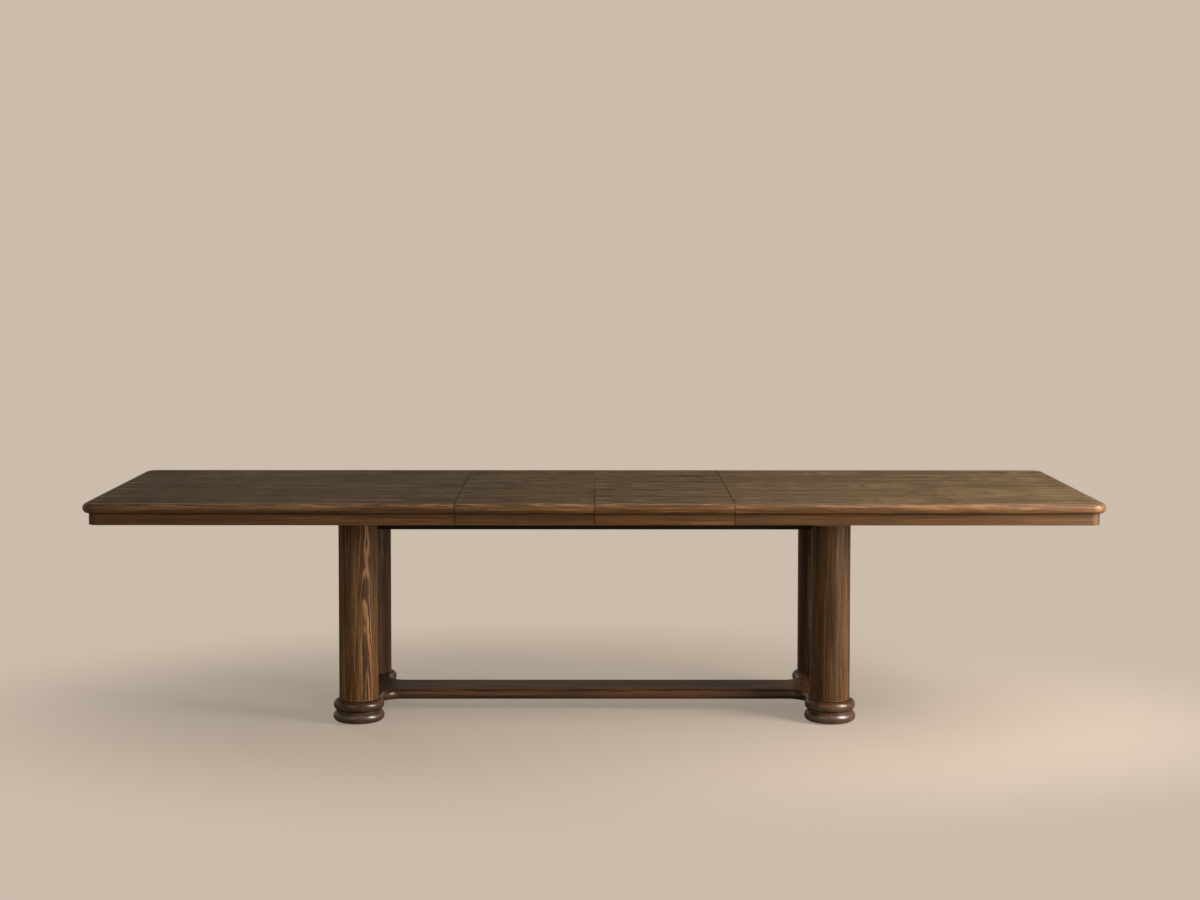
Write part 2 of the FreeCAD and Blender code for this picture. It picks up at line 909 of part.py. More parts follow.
def make_half(side, turn, line):
    """An end half in the left half's place, turned round as a whole for the right one."""
    pivots = [(inner_x - d.latch_setback + half_gap, latch_y * sign) for sign in (-1, 1)]
    span = inner_x - runner_start - d.screw_setback * 2
    screw_places = [
        (runner_start + d.screw_setback + span * share, line * sign)
        for share in (0, 0.5, 1)
        for sign in (-1, 1)
    ]
    keep(place(half_panel(side, screw_places, pivots), turn=turn))
    keep(place(half_edging(side), turn=turn))
    keep(place(half_apron(side), turn=turn))
    keep(place(half_blocks(side), turn=turn))
    keep(place(half_runners(side, line, screw_places), turn=turn))
    name = side + "_top_screws"
    driven = screws(name, screw_places, runner_screw_head, runner_screw_shank)
    keep(place(group(name, driven), turn=turn))
    name = side + "_latch_pivots"
    pins = [latch_pin(f"{name}_{index}", *at) for index, at in enumerate(pivots)]
    keep(place(group(name, pins), turn=turn))
    make_rack(side, turn)


def make_leaf(side, turn, stud_places, pivot_places):
    name = f"leaf_{side}_"
    start = -d.leaf_length + half_gap
    end = -half_gap
    under = slab_under + d.running_gap
    blank = box(name + "panel_blank", (start, end), (-panel_y, panel_y), (under, d.table_height))
    holes = pin_holes(name + "stud_hole", stud_places + pivot_places)
    keep(place(cut(name + "panel", blank, holes), turn=turn))
    edging = [
        half_round(name + "edging_front", -BACK, ALONG, end - start, start, -panel_y),
        half_round(name + "edging_rear", BACK, ALONG, end - start, start, panel_y),
    ]
    keep(place(group(name + "edging", edging), turn=turn))
    aprons = [
        apron_side(name + "apron_front", start, end - start, -1),
        apron_side(name + "apron_rear", start, end - start, 1),
    ]
    keep(place(group(name + "aprons", aprons), turn=turn))
    cleats = [
        box(
            name + "cleat_front",
            (start + d.cleat_inset, end - d.cleat_inset),
            (-cleat_far, -cleat_near),
            (under - d.cleat_height, under),
        ),
        box(
            name + "cleat_rear",
            (start + d.cleat_inset, end - d.cleat_inset),
            (cleat_near, cleat_far),
            (under - d.cleat_height, under),
        ),
    ]
    keep(place(group(name + "cleats", cleats), turn=turn))
    fittings = [stud(f"{name}stud_{index}", *at) for index, at in enumerate(stud_places)]
    fittings += [latch_pin(f"{name}pivot_{index}", *at) for index, at in enumerate(pivot_places)]
    keep(place(group(name + "latch_fittings", fittings), turn=turn))


# Latches: a plate on a shoulder screw, with a curved slot that takes the next piece's stud.


def make_latch(label, x, y, turn, sense):
    """A latch parked square to the table's length; sense is the side its slot opens on."""
    radius = d.latch_width / 2
    low = latch_top - d.latch_thickness
    thick = d.latch_thickness
    plate = joined(
        label + "_plate",
        [
            cylinder(label + "_eye", radius, thick, z=low),
            cylinder(label + "_tip", d.latch_tip_radius, thick, latch_length, 0, low),
            box(label + "_bar", (as_size(0), latch_length), (-radius, radius), (low, low + thick)),
        ],
    )
    half_slot = d.pin_radius + d.stud_clearance
    deep = thick + d.overrun * 2
    under = low - d.overrun
    sector = cylinder(label + "_slot_outer", latch_length + half_slot, deep, z=under)
    sector.Angle = SLOT_SWEEP
    core = cylinder(label + "_slot_inner", latch_length - half_slot, deep, z=under)
    band = cut(label + "_slot_band", sector, [core])
    place(band, turn=0 if sense > 0 else -SLOT_SWEEP)
    tools = [
        joined(
            label + "_slot", [band, cylinder(label + "_slot_end", half_slot, deep, latch_length, 0, under)]
        ),
        cylinder(label + "_eye_bore", d.pin_radius + d.pin_clearance, deep, z=under),
    ]
    keep(place(cut(label, plate, tools), x, y, 0, turn - QUARTER * sense))


def make_latches():
    for side, sign in (("front", -1), ("rear", 1)):
        y = latch_y * sign
        seam = d.leaf_length
        make_latch("latch_left_" + side, -seam - d.latch_setback, y, 0, sign)
        make_latch("latch_middle_" + side, -d.latch_setback, y, 0, sign)
        make_latch("latch_right_" + side, seam + d.latch_setback, y, HALF_TURN, -sign)


# Equaliser: a rack on each half, meshed with one pinion, so both halves move alike.


def make_pinion():
    module = d.tooth_module.value
    pitch = pitch_radius.value
    tip = pitch + module
    root = pitch - module * DEDENDUM_SHARE
    base = pitch * math.cos(PRESSURE_ANGLE)
    half_tooth = (math.pi * module / 2 - d.tooth_play.value) / 2 / pitch
    half_base = half_tooth + math.tan(PRESSURE_ANGLE) - PRESSURE_ANGLE

    def polar(radius, angle):
        return Vector(radius * math.cos(angle), radius * math.sin(angle), 0)

    def flank(centre, side):
        """Points of one involute flank from the base circle to the tip."""
        points = []
        for share in (0, 0.25, 0.5, 0.75, 1):
            radius = base + (tip - base) * share
            roll = math.sqrt((radius / base) ** 2 - 1)
            spread = half_base - (roll - math.atan(roll))
            points.append(polar(radius, centre + side * spread))
        return points

    edges = []
    for tooth in range(TEETH):
        centre = math.tau * tooth / TEETH + math.pi / 2
        rise = flank(centre, -1)
        fall = flank(centre, 1)[::-1]
        low_start = polar(root, centre - half_base)
        low_end = polar(root, centre + half_base)
        next_start = polar(root, centre + math.tau / TEETH - half_base)
        for points in (rise, fall):
            curve = Part.BSplineCurve()
            curve.interpolate(points)
            edges.append(curve.toShape())
        edges.append(Part.makeLine(low_start, rise[0]))
        edges.append(Part.makeLine(rise[-1], fall[0]))
        edges.append(Part.makeLine(fall[-1], low_end))
        edges.append(Part.makeLine(low_end, next_start))
    outline = Part.Wire(Part.__sortEdges__(edges))
    width = d.pinion_width.value
    wheel = Part.Face(outline).extrude(UP * width)
    bore = Part.makeCylinder(d.axle_radius.value + d.axle_clearance.value, width)
    pinion = add("Part::Feature", "pinion")
    pinion.Shape = wheel.cut(bore)
    keep(place(pinion, z=pinion_floor))

    collar = d.axle_radius + d.collar_width
    hole = d.axle_radius + d.thread_clearance
    ceiling = pinion_floor + d.pinion_width
    clip_under = ceiling + d.collar_gap + d.washer_thickness + d.collar_gap
    top = clip_under + d.clip_thickness + d.seat_clearance
    groove_radius = d.axle_radius - d.clip_groove
    low = frame_top - d.axle_foot
    blank = cylinder("axle_blank", d.axle_radius, top + d.clip_groove - low, z=low)
    ring = cylinder("axle_groove_outer", d.axle_radius + d.overrun, d.clip_thickness, z=clip_under)
    core = cylinder("axle_groove_inner", groove_radius, d.clip_thickness, z=clip_under)
    keep(cut("pinion_axle", blank, [cut("axle_groove", ring, [core])]))
    rings = []
    for label, inner, outer, z, height in (
        ("pinion_spacer", hole, collar, frame_top, d.pinion_rise - d.collar_gap),
        ("pinion_washer", hole, collar, ceiling + d.collar_gap, d.washer_thickness),
        ("pinion_clip", groove_radius, d.axle_radius + d.clip_groove, clip_under, d.clip_thickness),
    ):
        disc = cylinder(label + "_disc", outer, height, z=z)
        bore = cylinder(label + "_bore", inner, height, z=z)
        rings.append(cut(label, disc, [bore]))
    keep(group("pinion_retainers", rings))

    keepers = []
    for side, sign in (("front", -1), ("rear", 1)):
        near_y = rack_back_y + d.running_gap
        far_y = near_y + d.keeper_thickness
        half = d.keeper_length / 2
        y = (near_y, far_y) if sign > 0 else (-far_y, -near_y)
        keepers.append(
            box("rack_keeper_" + side, (-half, half), y, (frame_top, frame_top + d.keeper_height))
        )
    keep(group("rack_keepers", keepers))


def make_rack(side, turn):
    """A straight rack on the front of the pinion for the left half, behind it for the right."""
    module = d.tooth_module.value
    pitch_y = -pitch_radius.value
    tip_y = pitch_y + module
    root_y = pitch_y - module * DEDENDUM_SHARE
    slope = math.tan(PRESSURE_ANGLE)
    step = math.pi * module
    half_pitch = (step / 2 - d.tooth_play.value) / 2
    half_tip = half_pitch - module * slope
    half_root = half_pitch + module * DEDENDUM_SHARE * slope
    first = -math.floor(rack_toothed.value / step)
    last = math.floor(d.rack_reach.value / step)
    tail_x = -rack_toothed.value - d.rack_tail.value
    points = [Vector(tail_x, -rack_back_y.value, 0)]
    points.append(Vector((last + 1) * step, -rack_back_y.value, 0))
    points.append(Vector((last + 1) * step, root_y, 0))
    for tooth in range(last, first - 1, -1):
        centre = (tooth + 0.5) * step
        points.append(Vector(centre + half_root, root_y, 0))
        points.append(Vector(centre + half_tip, tip_y, 0))
        points.append(Vector(centre - half_tip, tip_y, 0))
        points.append(Vector(centre - half_root, root_y, 0))
    points.append(Vector(tail_x, root_y, 0))
    outline = Part.makePolygon(points + points[:1])
    rack = add("Part::Feature", side + "_rack")
    rack.Shape = Part.Face(outline).extrude(UP * d.pinion_width.value)
    keep(place(rack, z=pinion_floor, turn=turn))
    start = -rack_toothed - d.rack_tail
    hanger = box(
        side + "_rack_hanger_block",
        (start, start + d.hanger_length),
        (-rack_back_y, -pitch_radius - d.tooth_module - d.hanger_inset),
        (pinion_floor + d.pinion_width, slab_under),
    )
    keep(place(group(side + "_rack_hanger", [hanger]), turn=turn))


make_feet()
make_plates()
make_stretcher()
make_columns()
make_tie_rods()
make_frame()
make_guides()
make_half("left", 0, d.left_runner_spacing / 2)
make_half("right", HALF_TURN, d.right_runner_spacing / 2)
seam_x = d.leaf_length
left_studs = [(-seam_x + d.latch_setback, latch_y * sign) for sign in (-1, 1)]
middle_pivots = [(-d.latch_setback, latch_y * sign) for sign in (-1, 1)]
make_leaf("left", 0, left_studs, middle_pivots)
make_leaf("right", HALF_TURN, left_studs + middle_pivots, [])
make_latches()
make_pinion()

doc.recompute()
faults = [
    f"{piece.Label}: {', '.join(piece.State)}"
    for piece in doc.Objects
    if "Invalid" in piece.State or "Error" in piece.State
]
for piece in nodes:
    if piece.Shape.isNull() or not piece.Shape.isValid() or not piece.Shape.Solids:
        faults.append(f"{piece.Label}: bad shape")
if faults:
    raise RuntimeError("; ".join(faults))
os.makedirs("parts", exist_ok=True)
for piece in nodes:
    piece.Shape.exportStep(f"parts/{piece.Label}.step")
print(len(nodes), "sub-parts written")
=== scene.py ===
"""An extending dining table in dark stained oak, dressed around its fixed frame."""

import json
import math
from dataclasses import dataclass
import bpy
from bpy.props import FloatProperty, FloatVectorProperty, PointerProperty
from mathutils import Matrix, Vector


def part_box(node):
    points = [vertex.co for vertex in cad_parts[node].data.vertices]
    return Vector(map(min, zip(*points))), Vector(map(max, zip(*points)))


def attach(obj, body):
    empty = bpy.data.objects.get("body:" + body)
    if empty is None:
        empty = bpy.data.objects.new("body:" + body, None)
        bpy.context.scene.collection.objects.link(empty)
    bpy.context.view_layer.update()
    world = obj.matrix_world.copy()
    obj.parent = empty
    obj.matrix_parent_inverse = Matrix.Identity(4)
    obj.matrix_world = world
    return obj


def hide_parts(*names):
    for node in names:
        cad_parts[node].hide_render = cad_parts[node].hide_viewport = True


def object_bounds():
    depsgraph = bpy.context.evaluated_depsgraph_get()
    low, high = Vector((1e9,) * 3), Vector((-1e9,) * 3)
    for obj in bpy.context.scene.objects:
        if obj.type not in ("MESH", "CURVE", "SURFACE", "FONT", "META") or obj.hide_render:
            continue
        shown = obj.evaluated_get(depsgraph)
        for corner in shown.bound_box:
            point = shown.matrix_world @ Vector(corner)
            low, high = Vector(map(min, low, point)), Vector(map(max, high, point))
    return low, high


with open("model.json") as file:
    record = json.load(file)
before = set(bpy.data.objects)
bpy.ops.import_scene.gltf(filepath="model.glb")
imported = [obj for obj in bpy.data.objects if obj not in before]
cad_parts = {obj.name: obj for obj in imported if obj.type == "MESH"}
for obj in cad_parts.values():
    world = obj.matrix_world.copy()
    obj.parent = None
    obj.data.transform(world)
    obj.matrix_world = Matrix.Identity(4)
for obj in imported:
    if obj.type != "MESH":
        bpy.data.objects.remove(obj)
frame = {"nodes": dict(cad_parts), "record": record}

bl_info = {
    "name": "Extending Dining Table",
    "version": (1, 0, 0),
    "blender": (4, 5, 0),
    "location": "View3D > Sidebar > Table",
    "description": "Oak finishes, fittings and studio for an extending dining table",
    "category": "Object",
}

MM = 0.001
CORNERS = ("front_left", "front_right", "rear_left", "rear_right")
CAD_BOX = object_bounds()
CORNER_RADIUS = 50 * MM
CORNER = CAD_BOX[1] - Vector((CORNER_RADIUS, CORNER_RADIUS, 0))
HALF_SEAM = 0.2 * MM
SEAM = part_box("leaf_right_panel")[1].x + HALF_SEAM


def middle(node):
    """The middle of a CAD node's box, in metres."""
    low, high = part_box(node)
    return (low + high) / 2


def linear(red, green, blue):
    """A colour given in screen values from 0 to 255, as light."""
    return tuple(
        level / 12.92 if level <= 0.04045 else ((level + 0.055) / 1.055) ** 2.4
        for level in (red / 255, green / 255, blue / 255)
    )


def opaque(colour):
    return (*colour, 1.0)


# Sizes and colours that a user may change.


def colour_setting(name, description, screen):
    return FloatVectorProperty(
        name=name,
        description=description,
        size=3,
        min=0,
        max=1,
        subtype="COLOR",
        default=linear(*screen),
    )


def length_setting(name, description, default):
    return FloatProperty(name=name, description=description, default=default, min=0, unit="LENGTH")


def share_setting(name, description, default):
    return FloatProperty(
        name=name, description=description, default=default, min=0, max=1, subtype="FACTOR"
    )


def power_setting(name, description, default):
    return FloatProperty(
        name=name, description=description, default=default, min=0, subtype="POWER", unit="POWER"
    )


class TableFinish(bpy.types.PropertyGroup):
    """Stain and lacquer of the oak, and the fittings' finishes."""

    top_dark: colour_setting("Top, dark", "Dark streaks of the veneered top", (46, 37, 22))
    top_brown: colour_setting("Top, brown", "Ground of the veneered top", (88, 69, 48))
    top_light: colour_setting("Top, light", "Light streaks of the veneered top", (138, 114, 82))
    edge_dark: colour_setting("Edging, dark", "Dark streaks of the edging", (54, 34, 16))
    edge_brown: colour_setting("Edging, brown", "Ground of the edging", (104, 69, 37))
    edge_light: colour_setting("Edging, light", "Light streaks of the edging", (164, 122, 80))
    apron_dark: colour_setting("Apron, dark", "Dark streaks of the apron", (60, 39, 19))
    apron_brown: colour_setting("Apron, brown", "Ground of the apron", (99, 65, 32))
    apron_light: colour_setting("Apron, light", "Light streaks of the apron", (142, 100, 60))
    column_dark: colour_setting("Columns, dark", "Dark streaks of the columns", (40, 31, 17))
    column_brown: colour_setting("Columns, brown", "Ground of the columns", (104, 69, 38))
    column_light: colour_setting("Columns, light", "Light streaks of the columns", (180, 136, 94))
    base_dark: colour_setting("Base, dark", "Dark streaks of plates and feet", (32, 24, 14))
    base_brown: colour_setting("Base, brown", "Ground of plates and feet", (77, 48, 25))
    base_light: colour_setting("Base, light", "Light streaks of plates and feet", (128, 84, 48))
    beech: colour_setting("Beech", "Plain beech of the runners and the frame", (196, 160, 118))
    black_stain: colour_setting("Black stain", "Stain of the long rails", (36, 28, 17))
    enamel: colour_setting("Enamel", "Enamel of the latches", (30, 29, 28))
    steel: colour_setting("Steel", "Machined steel of racks and pinion", (178, 176, 172))
    zinc: colour_setting("Zinc", "Zinc plating of the screws and fittings", (204, 202, 194))
    nylon: colour_setting("Nylon", "Nylon of the floor glides", (62, 56, 50))
    satin: share_setting("Satin", "Roughness of the lacquer between the pores", 0.42)
    leaf_width: length_setting("Veneer leaf", "Width of one leaf of the veneer", 210 * MM)
    seam_width: length_setting("Seam shade", "How far the glaze reaches from a seam", 3.2 * MM)
    # The glaze strength also sets how dark the painted shade is where pieces meet.
    glaze: share_setting("Glaze", "Strength of the dark glaze left in the joints", 0.9)


class TableFittings(bpy.types.PropertyGroup):
    """Sizes of the wood screws."""

    recess_span: length_setting("Recess span", "Width of the cross recess of a screw", 4.6 * MM)
    recess_width: length_setting("Recess slot", "Width of one slot of the cross recess", 1 * MM)
    recess_depth: length_setting("Recess depth", "Depth of the cross recess", 1.9 * MM)
    pitch: length_setting("Thread pitch", "Rise of the screw thread in one turn", 2.2 * MM)
    thread: length_setting("Thread height", "How far the thread stands out of its core", 0.7 * MM)


class TableStudio(bpy.types.PropertyGroup):
    """Camera, lamps and floor."""

    backdrop: colour_setting("Backdrop", "Pale floor and backdrop", (204, 188, 172))
    eye: FloatVectorProperty(
        name="Camera place",
        description="Where the camera stands",
        size=3,
        subtype="TRANSLATION",
        unit="LENGTH",
        default=(-0.00346, -7.35816, 1.5962),
    )
    tilt: FloatProperty(
        name="Camera tilt",
        description="How far the camera looks down",
        default=0.0523,
        subtype="ANGLE",
        unit="ROTATION",
    )
    lens: FloatProperty(
        name="Lens",
        description="Focal length on a sensor 36 mm wide",
        default=64.35,
        min=1,
        subtype="DISTANCE_CAMERA",
    )
    bounce: colour_setting("Floor bounce", "Light that the floor throws back up", (140, 131, 112))
    key_power: power_setting("Key lamp", "Tall soft lamp at the right front corner", 155)
    fill_power: power_setting("Fill lamp", "Large soft lamp to the left of the camera", 25)
    top_power: power_setting("Top lamp", "Large soft lamp over the right end", 42)
    back_power: power_setting("Back lamp", "Large soft lamp behind the left end", 85)
    ambient: share_setting("Ambient light", "Level of the light from all round", 0.22)


# Nodes written as sums.


class Wire:
    """A socket, on which sums add the nodes that work them out."""

    def __init__(self, net, socket):
        self.net = net
        self.socket = socket

    def math(self, operation, *rest):
        return self.net.node(
            "ShaderNodeMath", {"operation": operation}, dict(enumerate((self, *rest)))
        )

    def flipped(self, operation, first):
        return self.net.node("ShaderNodeMath", {"operation": operation}, {0: first, 1: self})

    def __add__(self, other):
        return self.math("ADD", other)

    __radd__ = __add__

    def __sub__(self, other):
        return self.math("SUBTRACT", other)

    def __rsub__(self, other):
        return self.flipped("SUBTRACT", other)

    def __mul__(self, other):
        return self.math("MULTIPLY", other)

    __rmul__ = __mul__

    def __truediv__(self, other):
        return self.math("DIVIDE", other)

    def __rtruediv__(self, other):
        return self.flipped("DIVIDE", other)

    def __abs__(self):
        return self.math("ABSOLUTE")

    def over(self, limit):
        return self.math("GREATER_THAN", limit)

    def within(self, start, end):
        """Rises smoothly from 0 at start to 1 at end."""
        return self.net.node(
            "ShaderNodeMapRange",
            {"interpolation_type": "SMOOTHSTEP"},
            {"Value": self, "From Min": start, "From Max": end},
        )

    def other(self, name):
        """Another output of the same node."""
        return Wire(self.net, self.socket.node.outputs[name])

    def parted(self):
        """Two separate values of the same noise."""
        parts = self.net.node("ShaderNodeSeparateColor", sockets={0: self.other("Color")})
        return parts, parts.other("Green")


class Net:
    """A node tree whose nodes are added one by one."""

    def __init__(self, tree):
        self.tree = tree
        tree.nodes.clear()

    def node(self, kind, settings=(), sockets=(), output=0):
        """Adds a node: its settings first, then the values or links of its sockets."""
        made = self.tree.nodes.new(kind)
        for name, value in dict(settings).items():
            setattr(made, name, value)
        for key, value in dict(sockets).items():
            if isinstance(value, Wire):
                self.tree.links.new(value.socket, made.inputs[key])
            else:
                made.inputs[key].default_value = value
        return Wire(self, made.outputs[output]) if made.outputs else None

    def vector(self, *parts):
        return self.node("ShaderNodeCombineXYZ", sockets=dict(enumerate(parts)))


class Shader(Net):
    """A material whose nodes are added one by one."""

    def __init__(self, name):
        self.material = bpy.data.materials.new(name)
        self.material.use_nodes = True
        super().__init__(self.material.node_tree)

    def place(self):
        """The three object coordinates, in metres."""
        at = self.node("ShaderNodeTexCoord", output="Object")
        parts = self.node("ShaderNodeSeparateXYZ", sockets={0: at})
        return parts, parts.other("Y"), parts.other("Z")

    def facing(self):
        """The three parts of the direction that the surface faces."""
        normal = self.node("ShaderNodeNewGeometry", output="Normal")
        parts = self.node("ShaderNodeSeparateXYZ", sockets={0: normal})
        return parts, parts.other("Y"), parts.other("Z")

    def grain(self, spot, along, across, seed=0.0, detail=2.0, roughness=0.5):
        """Noise with so many swings to a metre along the grain and across it."""
        run, side, deep = spot
        place = self.vector(run * along + seed, side * across, deep * across + seed)
        return self.node(
            "ShaderNodeTexNoise",
            sockets={"Vector": place, "Scale": 1.0, "Detail": detail, "Roughness": roughness},
        )

    def chance(self, number):
        """A random value from 0 to 1 for each whole number."""
        return self.node("ShaderNodeTexWhiteNoise", {"noise_dimensions": "1D"}, {"W": number})

    def choose(self, mask, off, on):
        """One value or another, by a mask."""
        return self.node("ShaderNodeMix", sockets={0: mask, 2: off, 3: on})

    def blend(self, factor, first, second, kind="MIX"):
        """A mix of two colours."""
        ends = (end if isinstance(end, Wire) else opaque(end) for end in (first, second))
        sockets = {0: factor, **dict(enumerate(ends, start=6))}
        settings = {"data_type": "RGBA", "blend_type": kind}
        return self.node("ShaderNodeMix", settings, sockets, output=2)

    def finish(self, relief=None, depth=1 * MM, **sockets):
        """Closes the material with a Principled surface over an optional relief."""
        links = {
            name.replace("_", " ").title().replace("Ior", "IOR"): value
            for name, value in sockets.items()
        }
        if relief is not None:
            links["Normal"] = self.node(
                "ShaderNodeBump", sockets={"Height": relief, "Distance": depth, "Strength": 1.0}
            )
        surface = self.node("ShaderNodeBsdfPrincipled", sockets=links)
        self.node("ShaderNodeOutputMaterial", sockets={"Surface": surface})
        return self.material


# Oak. Each kind of grain has its swings to a metre, along it and across it.

SWAY = (1.6, 9)
WAVER = (12, 26)
UNEVEN_RINGS = (1.5, 70)
FIBRES = (3.2, 190)
PATCHES = (1.2, 9)
DASHES = (65, 1000)

# Where in a year's ring the late wood starts, is darkest and ends, and how much years differ.

LATE_WOOD = (0.1, 0.62, 1.0)
YEAR_SPREAD = 0.6

# How strongly the tone follows the noise, and what stains, glaze and painted shade it is mixed
# with.

TONE_SPREAD = 2.2
RUDDY_TINT = (1.0, 0.82, 0.6)
PORE_SHADE = 0.4
# Tint of the seam glaze, and of the painted shade where pieces meet.
GLAZE_AND_PAINTED_SHADE_TINT = (0.06, 0.05, 0.04)

# How far a face turns along the table to count as a butt face, and up or down as a level one.

BUTT_FACE = (0.6, 0.9)
LEVEL_FACE = (0.8, 0.98)
COAT_ROUGHNESS = 0.3
COAT_IOR = 1.7

# How far leaves of veneer differ along the grain and across it, in metres.

LEAF_SEED = 20.0
LEAF_SLIP = 0.35
LEAF_SHIFT = 0.02


@dataclass
class Plank:
    """How one piece of oak is cut from its log, and how its figure shows."""

    seed: float
    pith: tuple = (20 * MM, 90 * MM)
    tilt: float = 0.03
    wobble: float = 12 * MM
    waver: float = 2 * MM
    spacing: float = 4 * MM
    figure: float = 0.4
    streak: float = 0.6
    bands: float = 0.4
    band_size: tuple = (700 * MM, 25 * MM)
    veins: float = 0.2
    vein_size: tuple = (500 * MM, 14 * MM)
    cloud: float = 0.3
    ruddy: float = 0.55
    # Brightness of the whole piece, set per piece: partly its own tone, and for some pieces partly
    # painted light and shade.
    shade: float = 1.0
    flame: tuple = ()


def swings(size):
    """How often marks of one size, along the grain and across it, come in a metre."""
    return [1 / length for length in size]


def oak(net, spot, plank, dark, brown, light, satin):
    """Open-grained oak. spot is the place along the grain, across it and into it."""
    along, across, depth = spot
    seed = plank.seed
    sway = net.grain(spot, *SWAY, seed * 7.3).parted()
    waver = net.grain(spot, *WAVER, seed * 3.7).parted()
    side, deep = (
        flat + (slow - 0.5) * (plank.wobble * 2) + (quick - 0.5) * (plank.waver * 2)
        for flat, slow, quick in zip((across, depth), sway, waver)
    )
    cut = (along, side, deep)
    reach = side + plank.pith[0]
    rise = deep + plank.pith[1] + along * plank.tilt
    uneven = net.grain(cut, *UNEVEN_RINGS, seed * 5.1)
    phase = (reach * reach + rise * rise).math("SQRT") / plank.spacing + uneven * 2.0
    ring = phase.math("FRACT")
    year = net.chance(phase.math("FLOOR") + seed)
    start, peak, end = LATE_WOOD
    strength = year * YEAR_SPREAD + (1 - YEAR_SPREAD)
    late = ring.within(start, peak) * (1 - ring.within(peak, end)) * strength
    fibres = net.grain(cut, *FIBRES, seed, detail=6, roughness=0.72)
    broad = net.grain(cut, *swings(plank.band_size), seed * 3.1, detail=3, roughness=0.6)
    bands, red = broad.parted()
    veins = net.grain(cut, *swings(plank.vein_size), seed * 2.3, detail=3, roughness=0.6)
    patches = net.grain(spot, *PATCHES, seed * 1.9)
    dashes = net.grain(cut, *DASHES, seed, detail=1.5)
    pores = dashes.within(0.5, 0.62) * (0.7 - late * 0.6)
    figure = plank.figure
    if plank.flame:
        sideways, inwards, radius, blaze = plank.flame
        crest = (across * sideways + depth * inwards).within(radius * 0.8, radius)
        figure = crest * blaze + figure
    tone = (
        0.5
        + (fibres - 0.5) * (plank.streak * TONE_SPREAD)
        + (bands - 0.5) * (plank.bands * TONE_SPREAD)
        + (late - 0.3) * (fibres * 1.6 + 0.2) * figure
        - (veins.within(0.52, 0.68) - 0.2) * plank.veins
        + (patches - 0.5) * plank.cloud
    )
    low, ground, high = ([plank.shade * level for level in c] for c in (dark, brown, light))
    body = net.blend(tone * 2 - 1, net.blend(tone * 2, low, ground), high)
    warm = net.blend(red.within(0.42, 0.62) * plank.ruddy, body, RUDDY_TINT, "MULTIPLY")
    colour = net.blend(pores * 0.55, warm, [PORE_SHADE * level for level in dark])
    roughness = pores * 0.2 + (fibres - 0.5) * 0.2 + satin
    relief = tone * 0.3 - pores * 0.5 + fibres * 0.5
    return colour, roughness, relief


def glaze_and_painted_shade(net, colour, seams, joints):
    """Dark glaze left along the seams of the top, and painted shade in a band at each given height
    where pieces meet, standing in for the shadow in the recess there.
    """
    settings = bpy.context.scene.table_finish
    x, _, z = net.place()
    # Painted shade: a dark band round each given height where two pieces meet.
    lines = [abs(z - height).within(0, reach) for height, reach in joints]
    if seams:
        away = abs(x).math("MINIMUM", abs(abs(x) - SEAM))
        butt = abs(net.facing()[0]).within(*BUTT_FACE)
        lines.append(away.within(HALF_SEAM, settings.seam_width).math("MAXIMUM", butt))
    # The seam glaze and the painted shade darken the colour with the same tint.
    for line in lines:
        colour = net.blend((1 - line) * settings.glaze, colour, GLAZE_AND_PAINTED_SHADE_TINT, "MULTIPLY")
    return colour


def edge_spot(net):
    """Place along, across and into strips that run round the table's rounded outline."""
    x, y, z = net.place()
    turned = ((abs(x) - CORNER.x) - (abs(y) - CORNER.y)).over(0.0)
    return net.choose(turned, x, y), net.choose(turned, y, x), z


def oak_finish(
    name, spot_of, plank, stain, gloss=0.0, depth=0.45 * MM, specular=0.4, seams=False, joints=(),
    coat=0.0,
):
    """A material of stained oak under its lacquer, with a coat only where a face isn't level."""
    settings = bpy.context.scene.table_finish
    tones = [getattr(settings, stain + "_" + level) for level in ("dark", "brown", "light")]
    net = Shader(name)
    colour, roughness, relief = oak(net, spot_of(net), plank, *tones, settings.satin - gloss)
    # Seam glaze, and painted shade in bands at the given heights where pieces meet.
    colour = glaze_and_painted_shade(net, colour, seams, joints)
    if coat:
        coat = (1 - abs(net.facing()[2]).within(*LEVEL_FACE)) * coat
    return net.finish(
        relief, depth, base_color=colour, roughness=roughness, specular_ior_level=specular,
        coat_weight=coat, coat_roughness=COAT_ROUGHNESS, coat_ior=COAT_IOR,
    )


def assign(material, *names):
    for name in names:
        node = frame["nodes"][name]
        node.data.materials.clear()
        node.data.materials.append(material)


def nodes_of(slot):
    """The CAD nodes that take their finish from one material slot of the record."""
    return [s["node"] for s in frame["record"]["subparts"] if s["material_slot"] == slot]


class TABLE_OT_top(bpy.types.Operator):
    """Lays leaves of oak veneer on the end halves and the loose leaves"""

    bl_idname = "table.top"
    bl_label = "Veneered top"

    def execute(self, context):
        settings = context.scene.table_finish

        def spot(net):
            x, y, z = net.place()
            leaf = ((y / settings.leaf_width) + 0.5).math("FLOOR")
            shift = net.chance(leaf + LEAF_SEED)
            matched = y.math("PINGPONG", settings.leaf_width)
            return x + shift * LEAF_SLIP, matched + (shift - 0.5) * LEAF_SHIFT, z

        # Brightness of each piece of the top: partly its own tone, partly painted light, the right
        # end lighter as the key lamp falls on it.
        shades = {"left_top": 0.81, "right_top": 0.96, "leaf_left": 0.79, "leaf_right": 0.82}
        for seed, (piece, shade) in enumerate(shades.items()):
            plank = Plank(
                seed * 1.7 + 0.4, pith=(-100 * MM, 45 * MM), tilt=0.012, wobble=20 * MM,
                figure=0.3, streak=0.8, bands=0.5, band_size=(1100 * MM, 26 * MM), veins=0.6,
                vein_size=(800 * MM, 13 * MM), cloud=0.04, ruddy=0.3, shade=shade,
            )
            material = oak_finish(
                f"oak_veneer_{piece}", spot, plank, "top", gloss=-0.16, depth=0.25 * MM,
                specular=0.08, seams=True,
            )
            assign(material, piece + "_panel")
        return {"FINISHED"}


